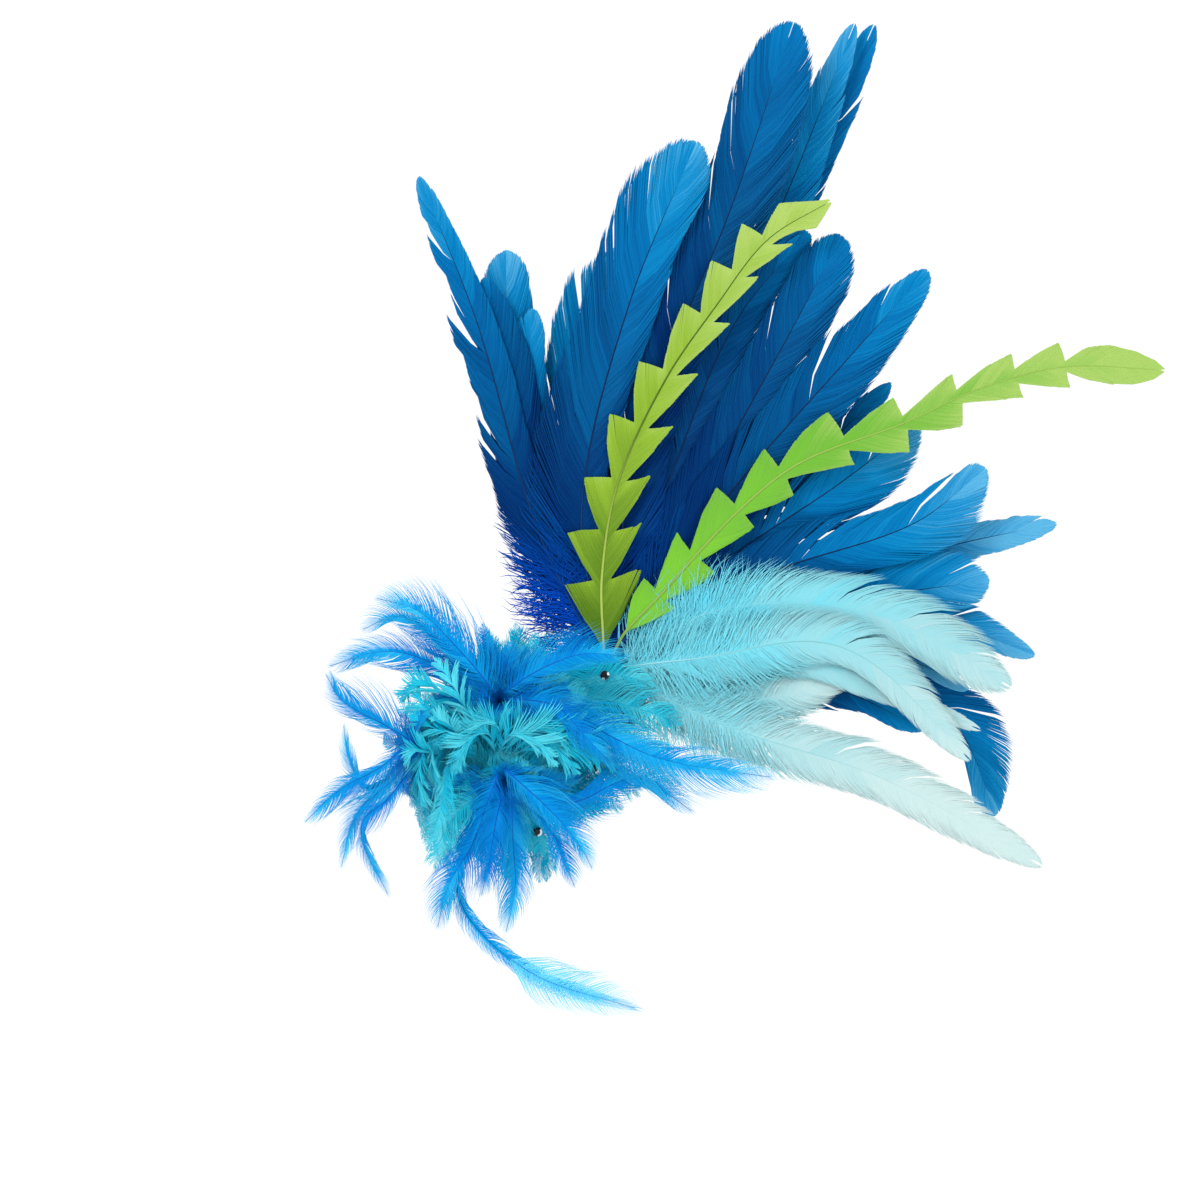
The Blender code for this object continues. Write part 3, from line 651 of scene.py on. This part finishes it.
def trimmed_strand(stops, start, notches, end_leaf, dye, lean, count=420):
    """A trimmed feather's line of measures: each barb ends where the scissors cut it."""
    line, length = smooth_line(stops, count, green_end)
    share = np.linspace(0, green_end, count)
    station = share * length
    angle = np.maximum(math.radians(lean) * np.clip((1 - share) / 0.05, 0, 1) ** 0.5, 0.05)
    tries = np.linspace(0.0002, longest_green_barb, 300)
    sides = []
    for side in (0, 1):
        along = station[:, None] + tries * np.cos(angle)[:, None]
        out = tries * np.sin(angle)[:, None]
        covered = np.zeros(along.shape, bool)
        for corners in leaf_corners(length, start, notches, end_leaf, side):
            covered |= inside_leaf(corners, along, out)
        sides.append(tries[np.argmin(covered, axis=1)])
        sides[-1][~covered[:, 0]] = 0.0
    return {
        "line": line, "left": sides[0], "right": sides[1], "lean": angle,
        "fluff": np.zeros(count), "girth": 0.8 * MM * (1 - 0.75 * share),
        "along": share, "station": station, "dye": np.full(count, dye),
        "face": np.tile((0.0, -1.0, 0.0), (count, 1)),
    }


blunt_blade = barb_blade("cut_barb", ((0.0, 0.9), (0.5, 1.0), (1.0, 1.0)), False)
green_vanes = (
    vane_finish("Olive trimmed barbs", (
        (0.30, (0.07, 0.16, 0.010)), (0.50, (0.20, 0.34, 0.026)), (0.72, (0.31, 0.44, 0.105))),
        (0.2, 0.35, 0.03), (0.8, 1.0, 0.3), foot_dye_and_shade=0.4, mottle=0.4),
    vane_finish("Leaf green trimmed barbs", (
        (0.30, (0.15, 0.42, 0.030)), (0.50, (0.12, 0.34, 0.035)), (0.68, (0.28, 0.43, 0.10))),
        (0.2, 0.4, 0.03), (0.8, 1.0, 0.3), foot_dye_and_shade=0.45, mottle=0.4),
)
green_shafts = (
    shaft_finish("Olive quill", (0.05, 0.10, 0.008), (0.34, 0.46, 0.08)),
    shaft_finish("Leaf green quill", (0.22, 0.36, 0.06), (0.20, 0.34, 0.06)),
)

for number, (points, start, notches, end_leaf) in enumerate(green_notched, start=1):
    stops = fan_stops(points, green_layer)
    strand = trimmed_strand(stops, start, notches, end_leaf, 0.5, 30.0)
    feather = strands_object(f"green_leaf_feather_{number}", [strand])
    grow(feather, feathering, barb=blunt_blade, spacing=0.0005, barb_width=0.00062, clump=0.011,
         split=0.0, bunch=0.012, loose=0.004, ragged=0.0, bow=0.03, cup=0.02, down=0.01,
         seed=60 + number,
         vane=green_vanes[number - 1], shaft=green_shafts[number - 1])
    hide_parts(f"green_notched_{number}")
    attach(feather, "root")


# The mint feathers lie over the fan's right foot: rooster saddle feathers with thin barbs
# that stand apart, downy at the foot and almost white at the tips.

# low, high and tip of the shaft (x, z), layer, left and right half width, bluntness, dye, quill
mint_saddle = (
    ((75, 33), (150, 39), (214, -17), 9, 15, 12, 0.2, 0.54, 0.50),
    ((92, 58), (170, 54), (234, 19), 7, 17, 16, 0.7, 0.44, 0.26),
    ((95, -1), (170, -26), (249, -69), 8, 15, 14, 0.3, 0.84, 0.34),
    ((110, 37), (170, 18), (219, -2), 7, 8, 8, 0.1, 0.52, 0.26),
    ((78, 8), (118, 14), (160, 29), 6, 11, 14, 0.2, 0.62, 0.26),
)
mint_vane = vane_finish("Mint barbs", (
    (0.0, (0.03, 0.42, 0.60)), (0.22, (0.11, 0.51, 0.62)), (0.45, (0.20, 0.51, 0.57)),
    (0.7, (0.30, 0.50, 0.52)), (1.0, (0.47, 0.57, 0.55))), (0.18, 0.64, 0.74), (0.5, 0.9, 1.0),
    foot_dye_and_shade=0.75, down_share=0.6, second_dye=(0.06, 0.46, 0.60))
mint_shaft = shaft_finish("Mint quill", (0.14, 0.38, 0.40), (0.26, 0.56, 0.62))
downy_blade = barb_blade("downy_barb", ((0.0, 0.9), (0.35, 1.0), (0.7, 0.65)), True)

longest_behind, coat_apart, behind_fluff = 0.024, 0.0004, 0.12

for seed, node, row in laid(mint_saddle, "mint_saddle_{}", 81):
    *points, layer, left, right, blunt, dye, quill = row
    strand = feather_strand(fan_stops(points, layer), left, right, blunt, 30.0, dye, quill, down=1.0,
                            down_end=0.09, count=90)
    # A flat coat of barbs lies just behind the down as a sheet of painted shade: between its hairs it
    # shows a deeper vane colour where the dark shadow would show
    behind = dict(strand, line=strand["line"] + np.array((0.0, coat_apart, 0.0)))
    for label in ("left", "right"):
        behind[label] = np.minimum(strand[label], longest_behind) * (strand["fluff"] > 0)
    behind["fluff"] = strand["fluff"] * behind_fluff
    feather = strands_object(node.replace("saddle", "feather"), [strand, behind])
    grow(feather, feathering, barb=downy_blade, stray=0.2, tip_fill=0.6, spacing=0.0003,
         barb_width=0.00056, clump=0.012, split=0.08, bunch=0.03, loose=0.015, ragged=0.08,
         bow=0.10, cup=0.08, down=0.034, seed=seed,
         vane=mint_vane, shaft=mint_shaft)
    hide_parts(node)
    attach(feather, "root")


# The flowers are puffs of short turquoise plumes, bound round a stub and sewn to the pad.
# Their tips curl, and a tuft of short azure plumes stands in each eye.

pad_front = -5.4
stub_round = 8.0


class Flower:
    """A flower's place on the pad, the way its eye faces, and how far its plumes reach."""

    def __init__(self, place, facing, right, up, left, down):
        self.facing = Vector(facing).normalized()
        tilt = math.hypot(self.facing.x, self.facing.z) * stub_round
        self.base = Vector((place[0], pad_front - gap - tilt, place[1]))
        self.across = Vector((0.0, 0.0, 1.0)).cross(self.facing).normalized()
        self.upward = self.facing.cross(self.across)
        self.reaches = (right, up, left, down)

    def at(self, radius, angle, depth):
        """A point at a distance from the axis, an angle in degrees and a height on it."""
        turn = math.radians(angle)
        ray = self.across * math.cos(turn) + self.upward * math.sin(turn)
        return self.base + ray * radius + self.facing * depth

    def reach(self, angle):
        """How far the plumes reach at one angle, in millimetres."""
        turn = math.radians(angle)
        right, up, left, down = self.reaches
        sideways = math.cos(turn) / (right if math.cos(turn) > 0 else left)
        lengthways = math.sin(turn) / (up if math.sin(turn) > 0 else down)
        return 1 / math.hypot(sideways, lengthways)


flowers = (
    Flower((-20, 12), (0, -1, 0), 70, 38, 32, 20),
    Flower((-42, -13), (-0.72, -0.69, 0), 26, 34, 26, 56),
    Flower((-16, -26), (0, -1, -0.06), 56, 22, 40, 52),
)
# plumes in a ring, root and top height on the axis, share of the reach, fall at the tip, dye
plume_rings = (
    (20, 3.0, 8.0, 1.0, 4.0, 0.30),
    (18, 7.0, 14.0, 0.86, 6.0, 0.40),
    (15, 11.0, 20.0, 0.68, 8.0, 0.52),
    (12, 15.0, 25.0, 0.50, 13.0, 0.72),
)
hair_blade = barb_blade("hair_barb", ((0.0, 0.8), (0.5, 1.0)), True)
turquoise_vane = vane_finish("Turquoise barbs", (
    (0.0, (0.0015, 0.19, 0.34)), (0.3, (0.003, 0.33, 0.52)), (0.6, (0.007, 0.42, 0.58)),
    (0.95, (0.08, 0.56, 0.66))), (0.004, 0.38, 0.56), (0.1, 0.9, 1.0), foot_dye_and_shade=0.3, paler_ends=0.2,
    mottle=1.8)
turquoise_shaft = shaft_finish("Turquoise quill", (0.01, 0.26, 0.40), (0.06, 0.40, 0.52))

# long plumes behind the rings: flower, stops (x, y, z), half width, dye
long_plumes = (
    (0, (0, -16, 18), (20, -19, 24), (40, -20, 25), (58, -19, 20), 12.0, 0.66),
    (0, (0, -16, 14), (24, -20, 14), (48, -21, 9), (72, -20, 0), 13.0, 0.62),
    (0, (0, -17, 8), (22, -21, 2), (46, -22, -8), (68, -20, -20), 13.0, 0.78),
    (0, (4, -16, 2), (26, -20, -8), (50, -20, -18), (72, -18, -30), 12.0, 0.86),
    (0, (0, -15, 4), (16, -19, -6), (36, -20, -20), (50, -18, -36), 12.0, 0.66),
    (1, (-40, -26, -14), (-46, -42, -20), (-48, -46, -38), (-54, -40, -58), 10.0, 0.66),
    (1, (-36, -24, -18), (-44, -36, -34), (-48, -38, -56), (-44, -32, -76), 11.0, 0.58),
    (2, (-24, -28, -30), (-38, -42, -40), (-48, -43, -54), (-52, -36, -72), 11.0, 0.72),
    (2, (-6, -17, -14), (10, -20, -18), (27, -21, -23), (46, -20, -30), 13.0, 0.40),
    (2, (-4, -17, -22), (12, -21, -26), (28, -22, -32), (42, -21, -42), 12.0, 0.30),
)


def plume_strand(flower, angle, root, height, reach, fall, curl, dye, width):
    """A short plume: out from the stub, rising, and curling over at its tip."""
    far = max(reach, 15.0)
    stops = (
        flower.at(3.5, angle, root),
        flower.at(far * 0.35, angle + curl * 0.2, root + (height - root) * 0.8),
        flower.at(far * 0.72, angle + curl * 0.55, height),
        flower.at(far, angle + curl, height - fall),
    )
    return feather_strand(stops, width, width, 0.3, 36.0, dye, 0.3, face=flower.facing, down=0.45,
                          down_end=0.018, bare=0.003, swelling=0.3, count=14)


for number, flower in enumerate(flowers, start=1):
    chooser = random.Random(40 + number)
    plumes = []
    for count, root, height, share, fall, dye in plume_rings:
        # Plumes stand closer where they are longer, so the puff is full all round
        turns = np.arange(0.0, 360.0, 2.0)
        crowd = np.cumsum([flower.reach(turn) for turn in turns])
        for place in range(count):
            spot = (place + chooser.uniform(0.2, 0.8)) / count * crowd[-1]
            angle = float(np.interp(spot, crowd, turns))
            reach = flower.reach(angle) * share * chooser.uniform(0.82, 1.06)
            plumes.append(plume_strand(
                flower, angle, root, height + chooser.uniform(-3, 3), reach,
                fall * chooser.uniform(0.4, 1.4), chooser.uniform(-24, 24),
                dye + chooser.uniform(-0.16, 0.16), chooser.uniform(7.5, 10.5)))
    plumes += [
        feather_strand(stops, width, width, 0.35, 34.0, dye, 0.3, face=flower.facing, bare=0.002,
                       swelling=0.3, count=14)
        for owner, *stops, width, dye in long_plumes if owner == number - 1]
    puff = strands_object(f"turquoise_plumes_{number}", plumes)
    grow(puff, feathering, barb=hair_blade, stray=0.8, tip_fill=-0.5, spacing=0.00058,
         barb_width=0.00046, clump=0.006, split=0.22, bunch=0.06, loose=0.08, ragged=0.36,
         bow=0.14, cup=0.14, down=0.012, seed=90 + number,
         vane=turquoise_vane, shaft=turquoise_shaft)
    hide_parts(f"turquoise_flower_{number}")
    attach(puff, "root")


# The curled plumes fill the middle between the eyes: pale turquoise barbs that cling in
# pointed locks, curled over scissors, on three of the bunches.

# flower, stops (x, y, z), half width, dye
curled_plumes = (
    (0, (-26, -26, 6), (-44, -36, 15), (-60, -37, 21), (-70, -32, 11), 10.0, 0.60),
    (0, (-26, -26, 2), (-42, -36, 3), (-56, -38, 9), (-63, -34, 24), 10.0, 0.50),
    (0, (-28, -26, 0), (-36, -40, 8), (-43, -44, 21), (-52, -40, 34), 8.0, 0.74),
    (0, (-24, -26, 2), (-38, -42, -3), (-52, -42, -1), (-66, -38, 6), 9.0, 0.46),
    (1, (-44, -24, -8), (-50, -38, -7), (-53, -44, -16), (-50, -40, -32), 8.0, 0.66),
    (1, (-46, -24, -12), (-56, -36, -12), (-60, -40, -24), (-58, -36, -42), 9.0, 0.50),
    (1, (-40, -24, -12), (-40, -40, -6), (-46, -46, 2), (-55, -42, 4), 8.0, 0.72),
    (1, (-42, -24, -12), (-50, -40, -14), (-60, -42, -12), (-68, -36, -20), 8.0, 0.56),
    (2, (-18, -28, -14), (-8, -44, -2), (8, -48, -3), (26, -42, -13), 11.0, 0.66),
    (2, (-20, -28, -14), (-14, -46, -4), (-2, -51, -8), (9, -48, -20), 10.0, 0.74),
    (2, (-22, -28, -14), (-26, -45, -3), (-36, -48, -8), (-42, -44, -24), 9.0, 0.66),
    (2, (-12, -28, -14), (4, -42, -6), (22, -44, -9), (40, -38, -20), 12.0, 0.50),
    (2, (-20, -28, -12), (-20, -46, 0), (-28, -50, 2), (-40, -46, -4), 9.0, 0.70),
    (2, (-14, -28, -14), (-4, -40, -6), (10, -44, -12), (20, -40, -24), 10.0, 0.56),
)

for number, flower in enumerate(flowers, start=1):
    locks = [
        feather_strand(stops, width, width, 0.6, 30.0, dye, 0.3, face=flower.facing, bare=0.002,
                       swelling=0.3, count=16)
        for owner, *stops, width, dye in curled_plumes if owner == number - 1]
    curls = strands_object(f"curled_plumes_{number}", locks)
    grow(curls, feathering, barb=soft_blade, spacing=0.00044, barb_width=0.0005, clump=0.0085,
         split=0.42, bunch=0.34, loose=0.03, ragged=0.4, bow=-0.12, cup=0.24, down=0.010,
         seed=100 + number,
         vane=turquoise_vane, shaft=turquoise_shaft)
    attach(curls, "root")


# The eye tufts are short azure plumes, bound into the middle of each flower and fanned
# out over its turquoise plumes.

# first and last angle of the fan, plumes, reach, height of the tips, dye, and the angles
# that stay open where a stone shows
eye_tufts = (
    (-20, 190, 22, 40, 23, 0.30, ()),
    (60, 250, 12, 28, 24, 0.26, ()),
    (-190, 5, 20, 44, 22, 0.30, (-80, -42)),
)
# radius and height of a middle plume's stops
eye_stops = ((0.8, 17), (2, 21), (6, 27), (11, 30))
# The azure barbs' strong paler ends are partly painted light shining through the thin hair
azure_vane = vane_finish("Azure barbs", (
    (0.0, (0.0003, 0.085, 0.38)), (0.25, (0.0005, 0.16, 0.52)), (0.5, (0.002, 0.26, 0.58)),
    (0.75, (0.02, 0.36, 0.63)), (1.0, (0.14, 0.54, 0.76))), (0.0006, 0.13, 0.50), (0.1, 0.8, 1.0),
    foot_dye_and_shade=0.4, paler_ends=0.36, mottle=1.4)
azure_shaft = shaft_finish("Azure quill", (0.0005, 0.03, 0.18), (0.001, 0.11, 0.50))

for number, (flower, row) in enumerate(zip(flowers, eye_tufts), start=1):
    first, last, count, reach, height, dye, opening = row
    chooser = random.Random(70 + number)
    plumes = []
    for place in range(8):
        angle = 45.0 * (place + chooser.uniform(-0.2, 0.2))
        stops = [flower.at(radius, angle, depth) for radius, depth in eye_stops]
        plumes.append(feather_strand(stops, 7, 7, 0.8, 45.0, 0.26, 0.25, face=flower.facing,
                                     bare=0.001, swelling=0.2, count=10))
    for place in range(count):
        angle = first + (last - first) * (place + chooser.uniform(0.2, 0.8)) / count
        if opening and opening[0] < angle < opening[1]:
            continue
        plumes.append(plume_strand(
            flower, angle, 19.0, height + chooser.uniform(0, 9), reach * chooser.uniform(0.55, 1.05),
            chooser.uniform(4, 14), chooser.uniform(-22, 22), dye + chooser.uniform(-0.2, 0.3),
            chooser.uniform(5.0, 7.5)))
    tuft = strands_object(f"azure_tuft_{number}", plumes)
    grow(tuft, feathering, barb=hair_blade, stray=0.8, tip_fill=-0.5, spacing=0.00062,
         barb_width=0.00044, clump=0.007, split=0.16, bunch=0.03, loose=0.05, ragged=0.30,
         bow=0.12, cup=0.08, down=0.010, seed=110 + number,
         vane=azure_vane, shaft=azure_shaft)
    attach(tuft, "root")


# The azure hackles spring from the flowers' eyes: slender rooster neck feathers, dyed
# bright blue, with loose barbs as fine as hair.

# flower, turn of the root, low, high and tip of the shaft, left and right half width, dye
azure_hackle = (
    (0, 115, (-38, -41, 36), (-60, -42, 57), (-83, -37, 64), 9, 20, 0.50),
    (0, 160, (-45, -37, 37), (-68, -37, 54), (-90, -32, 47), 10, 15, 0.40),
    (0, 205, (-45, -33, 27), (-75, -31, 37), (-107, -24, 29), 13, 10, 0.42),
    (0, 60, (2, -42, 29), (23, -43, 36), (46, -38, 34), 14, 11, 0.44),
    (0, 15, (8, -48, 10), (22, -49, -4), (37, -45, -20), 11, 11, 0.35),
    (0, -32, (20, -41, 2), (60, -42, -16), (119, -38, -26), 12, 19, 0.50),
    (1, 100, (-76, -30, 0), (-98, -31, 13), (-107, -26, 27), 8, 25, 0.46),
    (1, 190, (-84, -24, -31), (-95, -16, -16), (-98, -12, 2), 8, 7, 0.55),
    (1, 145, (-78, -32, -20), (-98, -30, -31), (-118, -24, -49), 12, 7, 0.46),
    (1, 235, (-74, -38, -28), (-90, -37, -43), (-99, -32, -72), 7, 10, 0.52),
    (1, 280, (-74, -44, -35), (-88, -43, -50), (-74, -37, -86), 9, 7, 0.42),
    (2, 150, (-33, -42, -58), (-45, -44, -79), (-51, -36, -102), 15, 13, 0.40),
    (2, 247, (-22, -50, -50), (-25, -50, -68), (-29, -44, -85), 12, 11, 0.30),
    (2, 289, (-13, -41, -58), (-12, -40, -80), (-17, -32, -104), 9, 14, 0.55),
    (2, 330, (3, -42, -45), (12, -41, -66), (18, -35, -81), 11, 7, 0.40),
    (2, 98, (4, -50, -40), (19, -48, -57), (27, -42, -72), 13, 7, 0.50),
    (2, 205, (-41, -34, -80), (-8, -33, -120), (53, -28, -142), 5.5, 5, 0.50),
    (2, 12, (14, -36, -38), (48, -34, -26), (78, -32, -44), 11, 11, 0.42),
)

comb_blade = barb_blade("comb_barb", ((0.0, 1.8), (0.25, 1.0), (0.6, 0.45)), True)
wispy_hackle, wisps_start = 17, 0.6

for number, row in enumerate(azure_hackle, start=1):
    eye, turn, low, high, tip, left, right, dye = row
    flower = flowers[eye]
    stops = (flower.at(3.7, turn, 20.3), flower.at(5.9, turn, 28.3), low, high, tip)
    strands = [feather_strand(stops, left, right, 0.3, 22.0, dye, 0.48, face=flower.facing,
                              down=0.3, down_end=0.02, bare=0.004, swelling=0.3, count=48)]
    if number == wispy_hackle:
        # The long lower hackle is a thin quill with a second, wispy vane round its end
        wisps = feather_strand(stops, 22, 18, 0.0, 34.0, 1.1, 0.2, face=flower.facing,
                               bare=0.004, swelling=0.8, count=48)
        for label in ("left", "right"):
            wisps[label] = wisps[label] * (wisps["along"] > wisps_start)
        strands.append(wisps)
    hackle = strands_object(f"azure_feather_{number:02d}", strands)
    grow(hackle, feathering, barb=comb_blade, stray=0.8, tip_fill=-0.7, spacing=0.00085,
         barb_width=0.00042, clump=0.010, split=0.12, bunch=0.02, loose=0.025, ragged=0.16,
         bow=0.11, cup=0.06, down=0.012, seed=120 + number,
         vane=azure_vane, shaft=azure_shaft)
    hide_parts(f"azure_hackle_{number:02d}")
    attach(hackle, "root")


# The crystals are three round-cut stones of smoky glass, glued on the plumes.
# They keep their solids, with a dark finish and painted glints: some facets are painted bright as
# highlights.

smoke = Finish("Smoky crystal", 0.12, specular=0.2)
facing = smoke.add("ShaderNodeNewGeometry", out=3)
painted_glint = smoke.add("ShaderNodeTexWhiteNoise", smoke.vector("SNAP", facing, (0.1, 0.1, 0.1)))
# The flat top gets no painted glint and stays dark
turned = smoke.add("ShaderNodeSeparateXYZ", facing, out=1)
painted_glint = smoke.calc("MULTIPLY", painted_glint, smoke.calc("GREATER_THAN", turned, -0.96))
smoke.feed("Base Color", smoke.ramp(painted_glint, (
    (0.0, (0.0005, 0.001, 0.002)), (0.62, (0.004, 0.012, 0.02)), (0.74, (0.10, 0.18, 0.22)),
    (0.88, (0.7, 0.85, 0.9)))))
wear = smoke.noise(1500.0, 2.0)
smoke.feed("Roughness", smoke.calc("MULTIPLY_ADD", wear, 0.08, 0.03))
smoke.raise_surface(wear, 0.1, 0.0001)
for number in (1, 2, 3):
    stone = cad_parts[f"dark_crystal_{number}"]
    stone.data.materials.clear()
    stone.data.materials.append(smoke.material)


# The stage: a pale floor and soft daylight from all round, with a key from the upper left.

floor_half, floor_level = 9, -0.33
floor_mesh = bpy.data.meshes.new("pale_floor")
floor_mesh.from_pydata([(x * floor_half, y * floor_half, floor_level)
                        for x, y in ((-1, -1), (1, -1), (1, 1), (-1, 1))], [], [(0, 1, 2, 3)])
floor = finished_object("pale_floor", floor_mesh)
pale = Finish("Pale floor", 0.9, specular=0.0)
pale.feed("Base Color", pale.ramp(pale.noise(0.4, 1.0), (
    (0.3, (0.97, 0.97, 0.97)), (0.7, (0.99, 0.99, 0.99)))))
floor_mesh.materials.append(pale.material)

scene = bpy.context.scene
scene.view_settings.view_transform = "Standard"
world = bpy.data.worlds.new("Daylight")
world.use_nodes = True
daylight = world.node_tree.nodes["Background"].inputs
daylight["Color"].default_value = (1.0, 1.0, 1.0, 1.0)
daylight["Strength"].default_value = 1.04
scene.world = world


lit_middle = Vector((0.05, 0.0, 0.06))


def soft_light(name, place, size, watts):
    """A round area light that looks at the middle of the feathers."""
    data = bpy.data.lights.new(name, "AREA")
    data.shape = "DISK"
    data.size = size
    data.energy = watts
    light = bpy.data.objects.new(name, data)
    light.location = place
    light.rotation_euler = (lit_middle - Vector(place)).to_track_quat("-Z", "Y").to_euler()
    scene.collection.objects.link(light)


soft_light("key", (-1.3, -2.0, 1.7), 0.9, 42.0)
soft_light("fill", (1.8, -1.6, 0.5), 1.2, 12.0)

# From this far, the view's width in the plane of the pad is 0.6 m
view_middle_x, view_middle_z, view_width, camera_away = 0.030, 0.0625, 0.6, 4.0
camera_data = bpy.data.cameras.new("camera")
camera_data.sensor_width = 36.0
camera_data.lens = camera_data.sensor_width * camera_away / view_width
camera_data.clip_end = 50.0
camera = bpy.data.objects.new("camera", camera_data)
camera.location = (view_middle_x, -camera_away, view_middle_z)
camera.rotation_euler = (math.radians(90), 0.0, 0.0)
scene.collection.objects.link(camera)
scene.camera = camera
